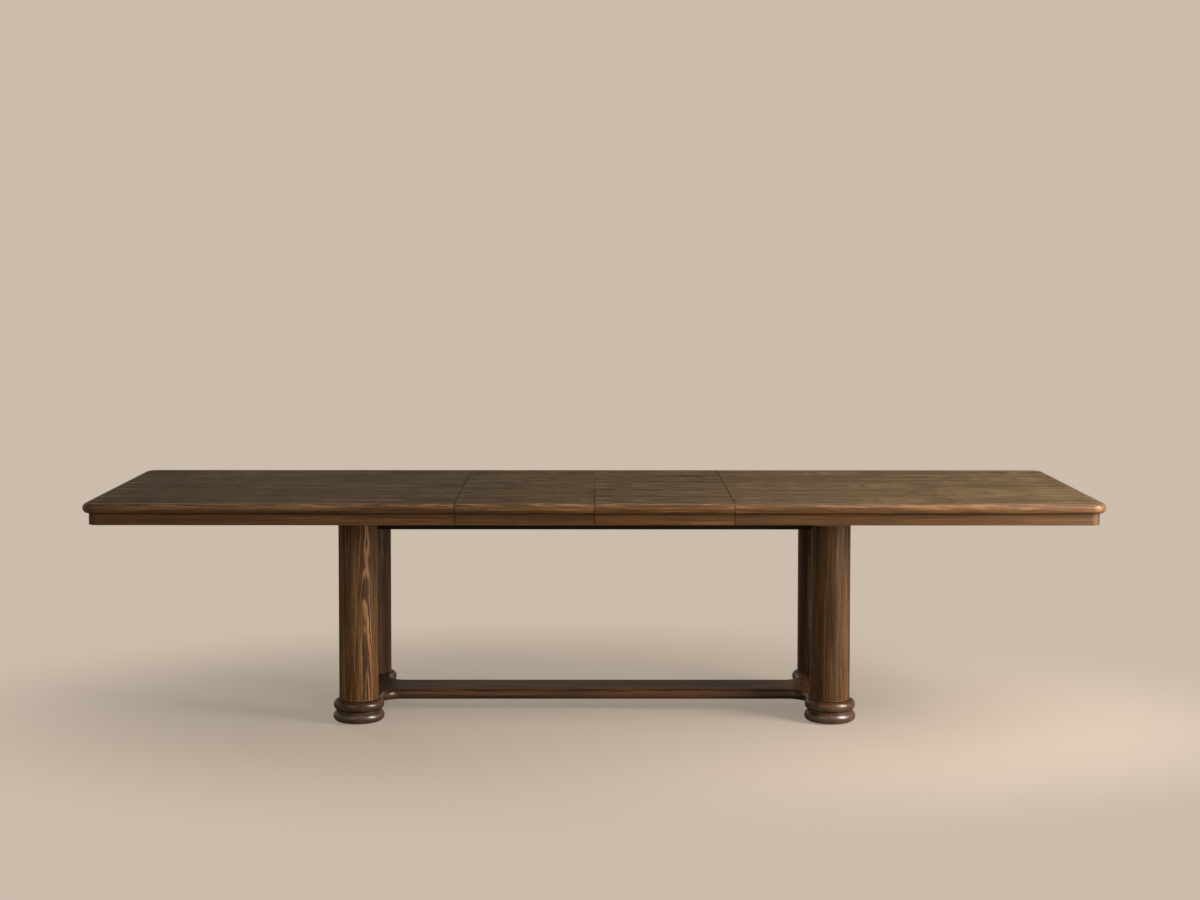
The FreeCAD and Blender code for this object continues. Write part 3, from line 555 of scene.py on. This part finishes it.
class TABLE_OT_edging(bpy.types.Operator):
    """Gives the half-round edging its warm solid oak"""

    bl_idname = "table.edging"
    bl_label = "Half-round edging"

    def execute(self, context):
        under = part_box("right_top_edging")[0].z
        shades = {"left_top": 0.97, "right_top": 1.0, "leaf_left": 0.88, "leaf_right": 1.05}
        for seed, (piece, shade) in enumerate(shades.items()):
            plank = Plank(
                seed * 2.3 + 1.1, pith=(20 * MM, 60 * MM), wobble=9 * MM, figure=0.35,
                streak=0.8, bands=0.6, band_size=(260 * MM, 15 * MM), shade=shade,
            )
            # Painted shade in a band along the underside of the edging, where it meets the apron.
            material = oak_finish(
                f"oak_edging_{piece}", edge_spot, plank, "edge", gloss=0.06, specular=0.5,
                seams=True, joints=[(under, 5 * MM)],
            )
            assign(material, piece + "_edging")
        return {"FINISHED"}


class TABLE_OT_aprons(bpy.types.Operator):
    """Gives each apron board its own brown"""

    bl_idname = "table.aprons"
    bl_label = "Aprons"

    def execute(self, context):
        # Brightness of each apron board: partly its own tone, partly painted light and shade, the
        # left end lifted and the right end darkened against the key lamp's fall-off.
        boards = {
            "left_top_apron": 1.22, "right_top_apron": 0.81, "leaf_left_aprons": 1.03,
            "leaf_right_aprons": 1.2,
        }
        for seed, (name, shade) in enumerate(boards.items()):
            plank = Plank(
                seed * 3.1 + 5.2, pith=(50 * MM, 70 * MM), tilt=0.01, figure=0.35, shade=shade,
            )
            # Painted shade in a band along the top of each apron board, under the edging.
            material = oak_finish(
                "oak_" + name, edge_spot, plank, "apron", seams=True,
                joints=[(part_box(name)[1].z, 3 * MM)],
            )
            assign(material, name)
        return {"FINISHED"}


class TABLE_OT_columns(bpy.types.Operator):
    """Gives the turned columns their upright figure"""

    bl_idname = "table.columns"
    bl_label = "Turned columns"

    def execute(self, context):
        # Each row lists the pith, ring spacing, figure, blaze and brightness of a column. The
        # brightness is partly the wood's own tone and partly painted light and shade: the front
        # left column is lifted and the other three are darkened as the light falls under the top.
        logs = {
            "front_left": ((-85 * MM, 147 * MM), 4.5 * MM, 0.2, 1.0, 1.08),
            "front_right": ((300 * MM, 20 * MM), 4 * MM, 0.15, 0.0, 0.63),
            "rear_left": ((-100 * MM, 120 * MM), 4.5 * MM, 0.2, 0.5, 0.72),
            "rear_right": ((300 * MM, 50 * MM), 4 * MM, 0.15, 0.0, 0.56),
        }
        for seed, (corner, log) in enumerate(logs.items()):
            pith, spacing, figure, blaze, shade = log
            node = "column_" + corner
            centre = middle(node)
            away = math.hypot(*pith)
            face = [-part / away for part in pith]
            plank = Plank(
                seed * 4.7 + 2.2, pith=pith, tilt=0.02, waver=3 * MM, spacing=spacing,
                figure=figure, streak=0.65, band_size=(300 * MM, 12 * MM), veins=0.25,
                shade=shade, flame=(*face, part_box(node)[1].x - centre.x, blaze),
            )

            def spot(net):
                x, y, z = net.place()
                return z, x - centre.x, y - centre.y

            # Painted shade in a band round the foot of the column, where it stands on its end
            # plate.
            material = oak_finish(
                "oak_" + node, spot, plank, "column", depth=0.5 * MM, specular=0.3,
                joints=[(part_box(node)[0].z, 4 * MM)],
            )
            assign(material, node)
        return {"FINISHED"}


class TABLE_OT_base(bpy.types.Operator):
    """Gives the end plates, the stretcher and the turned feet their dark oak"""

    bl_idname = "table.base"
    bl_label = "Plates, stretcher and feet"

    def execute(self, context):
        grains = {"stretcher": (0, 1, 2), "end_plate_left": (1, 0, 2), "end_plate_right": (1, 0, 2)}
        grains.update({"foot_" + corner: (2, 0, 1) for corner in CORNERS})
        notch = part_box("foot_front_left")[1].z
        for seed, (name, order) in enumerate(grains.items()):
            centre = middle(name)
            plank = Plank(seed * 1.9 + 3.4, pith=(30 * MM, 90 * MM), tilt=0.01)
            specular, coat = (0.5, 1.0) if name.startswith("foot") else (0.15, 0.8)

            def spot(net):
                at = net.place()
                return [at[axis] - centre[axis] for axis in order]

            # Painted shade in a band at the groove where the end plates meet the feet.
            material = oak_finish(
                "oak_" + name, spot, plank, "base", specular=specular, coat=coat,
                joints=[(notch, 6 * MM)],
            )
            assign(material, name)
        return {"FINISHED"}


class TABLE_OT_frame(bpy.types.Operator):
    """Finishes the beech and black-stained wood under the top"""

    bl_idname = "table.frame"
    bl_label = "Frame and runners"

    def execute(self, context):
        settings = context.scene.table_finish

        def beech_wood(name, colour, satin):
            net = Shader(name)
            spot = net.place()
            growth = net.grain(spot, 1.8, 60, 4.0, detail=4, roughness=0.6)
            flecks = net.grain(spot, 110, 700, 2.0, detail=1).within(0.56, 0.68)
            cloud = net.grain(spot, 1.2, 6, 9.0)
            dark = [0.5 * level for level in colour]
            body = net.blend((growth * 0.8 + cloud * 0.4).within(0.4, 0.8), dark, colour)
            tint = net.blend(flecks * 0.5, body, [0.35 * level for level in colour])
            return net.finish(
                growth - flecks * 0.3,
                0.15 * MM,
                base_color=tint,
                roughness=flecks * 0.1 + (growth - 0.5) * 0.15 + satin,
                specular_ior_level=0.35,
            )

        plain = beech_wood("plain_beech", settings.beech, 0.62)
        assign(plain, *nodes_of("plain_beech"))
        black = beech_wood("black_stained_rail", settings.black_stain, 0.5)
        assign(black, *nodes_of("black_stained_wood"))
        return {"FINISHED"}


class TABLE_OT_fittings(bpy.types.Operator):
    """Finishes the racks, pinion, latches, nuts and glides, and drives the wood screws"""

    bl_idname = "table.fittings"
    bl_label = "Fittings and screws"

    def execute(self, context):
        settings = context.scene.table_finish

        net = Shader("machined_steel")
        spot = net.place()
        cuts = net.grain(spot, 40, 2600, 1.0, detail=3, roughness=0.7)
        oil = net.grain(spot, 18, 18, 5.0, detail=3)
        tint = net.blend(oil.within(0.45, 0.75) * 0.5, settings.steel, (0.22, 0.19, 0.15))
        gear = net.finish(
            cuts, 0.04 * MM, base_color=tint, metallic=1.0,
            roughness=cuts * 0.3 + oil * 0.2 + 0.12,
        )
        assign(gear, *nodes_of("gear_steel"))

        net = Shader("zinc_plating")
        spot = net.place()
        cloud = net.grain(spot, 90, 90, 3.0, detail=3)
        bloom = net.grain(spot, 900, 900, 6.0, detail=2)
        tint = net.blend(cloud.within(0.35, 0.7) * 0.6, settings.zinc, linear(206, 196, 158))
        plated = net.finish(
            bloom, 0.03 * MM, base_color=tint, metallic=1.0,
            roughness=bloom * 0.18 + cloud * 0.2 + 0.14,
        )
        assign(plated, *nodes_of("zinc_steel"))

        net = Shader("black_enamel")
        spot = net.place()
        peel = net.grain(spot, 420, 420, 2.0, detail=2)
        rubs = net.grain(spot, 35, 900, 8.0, detail=3, roughness=0.7).within(0.6, 0.78)
        tint = net.blend(rubs * 0.35, settings.enamel, linear(120, 116, 110))
        enamelled = net.finish(
            peel, 0.12 * MM, base_color=tint, roughness=rubs * 0.25 + peel * 0.1 + 0.24,
            specular_ior_level=0.5,
        )
        assign(enamelled, *nodes_of("black_enamel"))

        net = Shader("glide_nylon")
        spot = net.place()
        speckle = net.grain(spot, 1500, 1500, 1.0, detail=2)
        scuffs = net.grain(spot, 60, 700, 4.0, detail=4, roughness=0.7).within(0.55, 0.75)
        scuffed = [1.9 * level for level in settings.nylon]
        tint = net.blend(scuffs * 0.4, settings.nylon, scuffed)
        nylon = net.finish(
            speckle - scuffs * 0.5, 0.08 * MM, base_color=tint,
            roughness=scuffs * 0.15 + speckle * 0.1 + 0.5, specular_ior_level=0.35,
        )
        assign(nylon, *nodes_of("glide_nylon"))

        screws = {
            "frame_screws": "root", "left_top_screws": "left_top", "right_top_screws": "right_top",
        }
        for node, body in screws.items():
            drive_screws(node, body, plated)
        return {"FINISHED"}


# Wood screws. Their shares are of the head's radius or height, or of the core's radius.

HEAD_SHARE = 8 / 9
CORE_SHARE = 5 / 9
RIM_SHARE = 0.35
CROWN_SHARE = 0.72
POINT_SHARE = 0.12
POINT_LENGTH_SHARE = 3
THREAD_END_SHARE = 4
HEAD_SIDES = 28
CORE_SIDES = 16
TURN_STEPS = 14
THREAD_SIDES = 4
SCREW_REACH = 12 * MM
SCREW_SEED = 5


class Group(Net):
    """A Geometry Nodes tree with named inputs."""

    def __init__(self, name, inputs):
        super().__init__(bpy.data.node_groups.new(name, "GeometryNodeTree"))
        face = self.tree.interface
        for title, kind in inputs.items():
            face.new_socket(title, in_out="INPUT", socket_type=kind)
        face.new_socket("Geometry", in_out="OUTPUT", socket_type="NodeSocketGeometry")
        self.given = self.node("NodeGroupInput")

    def value(self, title):
        return self.given.other(title)

    def close(self, geometry):
        self.node("NodeGroupOutput", sockets={0: geometry})
        return self.tree

    def joined(self, *parts):
        made = self.node("GeometryNodeJoinGeometry")
        for part in parts:
            self.tree.links.new(part.socket, made.socket.node.inputs[0])
        return made

    def raised(self, geometry, height):
        return self.node(
            "GeometryNodeTransform",
            sockets={"Geometry": geometry, "Translation": self.vector(0.0, 0.0, height)},
        )


def screw_tree():
    """A cross-recessed, threaded wood screw on each point, its head hanging down."""
    inputs = {"Points": "NodeSocketGeometry"}
    inputs.update({
        title: "NodeSocketFloat"
        for title in (
            "Head Radius", "Head Height", "Core Radius", "Length", "Recess Span", "Recess Width",
            "Recess Depth", "Pitch", "Thread Height",
        )
    })
    inputs["Seed"] = "NodeSocketInt"
    inputs["Finish"] = "NodeSocketMaterial"
    net = Group("wood_screws", inputs)
    radius, height, length = net.value("Head Radius"), net.value("Head Height"), net.value("Length")
    core, thread, pitch = net.value("Core Radius"), net.value("Thread Height"), net.value("Pitch")

    def cone(low, high, tall, sides):
        return net.node(
            "GeometryNodeMeshCone",
            sockets={"Vertices": sides, "Radius Bottom": low, "Radius Top": high, "Depth": tall},
        )

    rim = height * RIM_SHARE
    crown = cone(radius * CROWN_SHARE, radius, rim, HEAD_SIDES)
    band = net.raised(cone(radius, radius, height - rim, HEAD_SIDES), rim)
    point = core * POINT_LENGTH_SHARE
    shank = net.raised(cone(core, core, length - height - point, CORE_SIDES), height)
    tip = net.raised(cone(core, core * POINT_SHARE, point, CORE_SIDES), length - point)
    span, width = net.value("Recess Span"), net.value("Recess Width")
    deep = net.value("Recess Depth") * 2
    slots = [
        net.node("GeometryNodeMeshCube", sockets={"Size": net.vector(*size, deep)})
        for size in ((span, width), (width, span))
    ]
    solid = net.node("GeometryNodeMeshBoolean", {"operation": "UNION", "solver": "EXACT"})
    for part in (crown, band, shank, tip):
        net.tree.links.new(part.socket, solid.socket.node.inputs["Mesh 2"])
    cut = net.node(
        "GeometryNodeMeshBoolean", {"operation": "DIFFERENCE", "solver": "EXACT"}, {"Mesh 1": solid}
    )
    for part in slots:
        net.tree.links.new(part.socket, cut.socket.node.inputs["Mesh 2"])
    threaded = length - height - core * THREAD_END_SHARE
    spiral = net.node(
        "GeometryNodeCurveSpiral",
        sockets={
            "Resolution": TURN_STEPS, "Rotations": threaded / pitch, "Start Radius": core,
            "End Radius": core, "Height": threaded,
        },
    )
    edge = net.node(
        "GeometryNodeCurvePrimitiveCircle", sockets={"Resolution": THREAD_SIDES, "Radius": thread}
    )
    ridge = net.node(
        "GeometryNodeCurveToMesh",
        sockets={"Curve": spiral, "Profile Curve": edge, "Fill Caps": True},
    )
    screw = net.joined(cut, net.raised(ridge, height + core))
    turn = net.node(
        "FunctionNodeRandomValue",
        {"data_type": "FLOAT"},
        {"Min": 0.0, "Max": math.tau, "Seed": net.value("Seed")},
        output=1,
    )
    dealt = net.node(
        "GeometryNodeInstanceOnPoints",
        sockets={
            "Points": net.value("Points"), "Instance": screw,
            "Rotation": net.vector(0.0, 0.0, turn),
        },
    )
    real = net.node("GeometryNodeRealizeInstances", sockets={0: dealt})
    return net.close(
        net.node(
            "GeometryNodeSetMaterial", sockets={"Geometry": real, "Material": net.value("Finish")}
        )
    )


def upright_parts(node):
    """Lowest and highest corners of each upright part of a CAD node."""
    found = []
    for corner in (v.co for v in frame["nodes"][node].data.vertices):
        near = next((f for f in found if (f[0].xy - corner.xy).length < SCREW_REACH), None)
        if near is None:
            found.append((corner.copy(), [corner.copy()]))
        else:
            near[1].append(corner.copy())
    return [
        tuple(Vector([pick(c[axis] for c in corners) for axis in range(3)]) for pick in (min, max))
        for _, corners in found
    ]


def drive_screws(node, body, finish):
    """Puts real screws in the place of a node's plain ones, riding on the same body."""
    settings = bpy.context.scene.table_fittings
    parts = upright_parts(node)
    low, high = parts[0]
    radius = (high.x - low.x) / 2
    mesh = bpy.data.meshes.new(node)
    mesh.from_pydata([((a.x + b.x) / 2, (a.y + b.y) / 2, a.z) for a, b in parts], [], [])
    points = bpy.data.objects.new(node, mesh)
    bpy.context.scene.collection.objects.link(points)
    modifier = points.modifiers.new("screws", "NODES")
    modifier.node_group = bpy.data.node_groups.get("wood_screws") or screw_tree()
    values = {
        "Head Radius": radius,
        "Head Height": radius * HEAD_SHARE,
        "Core Radius": radius * CORE_SHARE - settings.thread,
        "Length": high.z - low.z,
        "Recess Span": settings.recess_span,
        "Recess Width": settings.recess_width,
        "Recess Depth": settings.recess_depth,
        "Pitch": settings.pitch,
        "Thread Height": settings.thread,
        "Seed": SCREW_SEED,
        "Finish": finish,
    }
    for socket in modifier.node_group.interface.items_tree:
        if socket.name in values and socket.in_out == "INPUT":
            modifier[socket.identifier] = values[socket.name]
    ready = points.evaluated_get(bpy.context.evaluated_depsgraph_get())
    made = bpy.data.meshes.new_from_object(ready)
    points.modifiers.clear()
    piece = bpy.data.objects.new(body + "_wood_screws", made)
    bpy.context.scene.collection.objects.link(piece)
    bpy.data.objects.remove(points)
    if not made.polygons:
        raise RuntimeError("the screws of " + node + " came out empty")
    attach(piece, body)
    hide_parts(node)


# Studio. Places and sizes are in metres, but the sensor's width is in millimetres.

GLOSSY_SHARE = 0.12
FLOOR_RADIUS = 40.0
FLOOR_SIDES = 96
FLOOR_ROUGHNESS = 0.8

# Where the floor's own glow starts and is full, how much less X counts, and its least share.

GLOW_REACH = (0.8, 1.85)
GLOW_STRETCH = 0.5
GLOW_LEAST = 0.45

# Each lamp has its tint, width and height, place, aim, and whether gloss shows it.

ROUND_TINT = (0.96, 0.97, 0.9)
WARM = (1.0, 0.94, 0.85)
COOL = (0.96, 0.98, 0.92)
LAMPS = {
    "key": (WARM, (1.4, 2.2), (3.0, -1.6, 1.6), (0.3, -0.1, 0.9), True),
    "fill": (COOL, (3.0, 3.0), (-3.2, -5.5, 2.6), (0, 0, 0.5), True),
    "top": (WARM, (3.0, 2.6), (1.8, 0.2, 3.0), (1.2, 0, 0), True),
    "back": (COOL, (3.0, 3.0), (-2.6, 4.6, 2.2), (0, 0, 0.5), False),
}
SENSOR_WIDTH = 36.0
VIEW_SHIFT = -0.07796
VIEW_ROLL = -0.00077
VIEW_TURN = -0.00291
VIEW_END = 200.0


class TABLE_OT_studio(bpy.types.Operator):
    """Sets up the floor, the backdrop, the lamps and the camera"""

    bl_idname = "table.studio"
    bl_label = "Studio"

    def execute(self, context):
        settings = context.scene.table_studio
        scene = context.scene
        scene.view_settings.view_transform = "Standard"
        pale = tuple(settings.backdrop)

        mesh = bpy.data.meshes.new("studio_floor")
        turns = [math.tau * step / FLOOR_SIDES for step in range(FLOOR_SIDES)]
        mesh.from_pydata(
            [(FLOOR_RADIUS * math.cos(turn), FLOOR_RADIUS * math.sin(turn), 0) for turn in turns],
            [],
            [tuple(range(FLOOR_SIDES))],
        )
        floor = bpy.data.objects.new("studio_floor", mesh)
        scene.collection.objects.link(floor)
        net = Shader("pale_floor")
        x, y, z = net.place()
        away = (x * x * GLOW_STRETCH + y * y).math("SQRT").within(*GLOW_REACH)
        glowing = away * (1 - GLOW_LEAST) + GLOW_LEAST
        speck = net.grain((x, y, z), 60, 60, detail=3)
        tint = net.blend(speck * 0.05, pale, [0.7 * level for level in pale])
        ground = net.node(
            "ShaderNodeBsdfPrincipled", sockets={"Base Color": tint, "Roughness": FLOOR_ROUGHNESS}
        )
        glow = net.node("ShaderNodeEmission", sockets={"Color": opaque(pale), "Strength": 1.0})
        shown = net.node("ShaderNodeMixShader", sockets={0: glowing, 1: ground, 2: glow})
        dull = net.node(
            "ShaderNodeBsdfPrincipled",
            sockets={"Base Color": opaque(settings.bounce), "Roughness": FLOOR_ROUGHNESS},
        )
        both = net.node(
            "ShaderNodeMixShader", sockets={0: net.node("ShaderNodeLightPath"), 1: dull, 2: shown}
        )
        net.node("ShaderNodeOutputMaterial", sockets={"Surface": both})
        mesh.materials.append(net.material)

        world = bpy.data.worlds.new("studio_light")
        scene.world = world
        world.use_nodes = True
        net = Net(world.node_tree)
        path = net.node("ShaderNodeLightPath")
        shown = path.math("MAXIMUM", path.other("Is Glossy Ray") * GLOSSY_SHARE)
        round_light = net.node(
            "ShaderNodeBackground",
            sockets={"Color": opaque(ROUND_TINT), "Strength": settings.ambient},
        )
        seen = net.node("ShaderNodeBackground", sockets={"Color": opaque(pale)})
        sky = net.node("ShaderNodeMixShader", sockets={0: shown, 1: round_light, 2: seen})
        net.node("ShaderNodeOutputWorld", sockets={"Surface": sky})

        for name, (tint, (wide, tall), place, aim, in_gloss) in LAMPS.items():
            light = bpy.data.lights.new(name + "_lamp", "AREA")
            light.energy = getattr(settings, name + "_power")
            light.color = tint
            light.shape = "RECTANGLE"
            light.size = wide
            light.size_y = tall
            lamp = bpy.data.objects.new(name + "_lamp", light)
            lamp.location = place
            lamp.rotation_euler = (Vector(aim) - Vector(place)).to_track_quat("-Z", "Y").to_euler()
            lamp.visible_camera = False
            lamp.visible_glossy = in_gloss
            scene.collection.objects.link(lamp)

        view = bpy.data.cameras.new("camera")
        view.sensor_width = SENSOR_WIDTH
        view.lens = settings.lens
        view.shift_y = VIEW_SHIFT
        view.clip_end = VIEW_END
        camera = bpy.data.objects.new("camera", view)
        camera.location = settings.eye
        camera.rotation_euler = (math.pi / 2 - settings.tilt, VIEW_ROLL, VIEW_TURN)
        scene.collection.objects.link(camera)
        scene.camera = camera
        return {"FINISHED"}


class TABLE_PT_panel(bpy.types.Panel):
    """Lists the steps that dress the table"""

    bl_idname = "TABLE_PT_panel"
    bl_label = "Extending table"
    bl_space_type = "VIEW_3D"
    bl_region_type = "UI"
    bl_category = "Table"

    def draw(self, context):
        for step in STEPS:
            self.layout.operator(step.bl_idname)


STEPS = (
    TABLE_OT_top,
    TABLE_OT_edging,
    TABLE_OT_aprons,
    TABLE_OT_columns,
    TABLE_OT_base,
    TABLE_OT_frame,
    TABLE_OT_fittings,
    TABLE_OT_studio,
)
CLASSES = (TableFinish, TableFittings, TableStudio, *STEPS, TABLE_PT_panel)


def register():
    for made in CLASSES:
        bpy.utils.register_class(made)
    bpy.types.Scene.table_finish = PointerProperty(type=TableFinish)
    bpy.types.Scene.table_fittings = PointerProperty(type=TableFittings)
    bpy.types.Scene.table_studio = PointerProperty(type=TableStudio)


def unregister():
    del bpy.types.Scene.table_studio
    del bpy.types.Scene.table_fittings
    del bpy.types.Scene.table_finish
    for made in reversed(CLASSES):
        bpy.utils.unregister_class(made)


def main():
    register()
    for step in STEPS:
        group, name = step.bl_idname.split(".")
        getattr(getattr(bpy.ops, group), name)()


if __name__ == "__main__":
    main()
